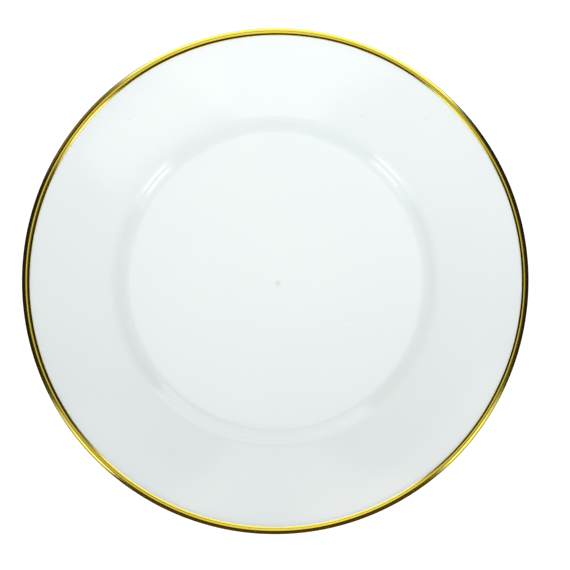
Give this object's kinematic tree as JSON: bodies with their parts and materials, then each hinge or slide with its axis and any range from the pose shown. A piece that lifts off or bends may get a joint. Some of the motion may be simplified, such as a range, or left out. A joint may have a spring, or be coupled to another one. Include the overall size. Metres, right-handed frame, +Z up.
{
  "type": "dinner plate",
  "caption": "Round china dinner plate with a flat well, a wide sloping rim and a raised bead along the edge under a polished gold band.",
  "frame": {"origin": "centre of the foot ring's underside, so the plate stands on z = 0", "axes": "+Z up along the plate's axis, out of the well; X and Y are any two directions across the plate, which is round"},
  "size_m": [0.267, 0.267, 0.0194],
  "materials": {
    "bisque": "fired and unglazed, matt",
    "clear_glaze": "cool white, high gloss",
    "gold": "bright gold, fired on and polished"
  },
  "bodies": {
    "root": {"porcelain_body": "bisque", "glaze_coat": "clear_glaze", "recess_glaze": "clear_glaze", "gold_rim": "gold"}
  },
  "joints": []
}
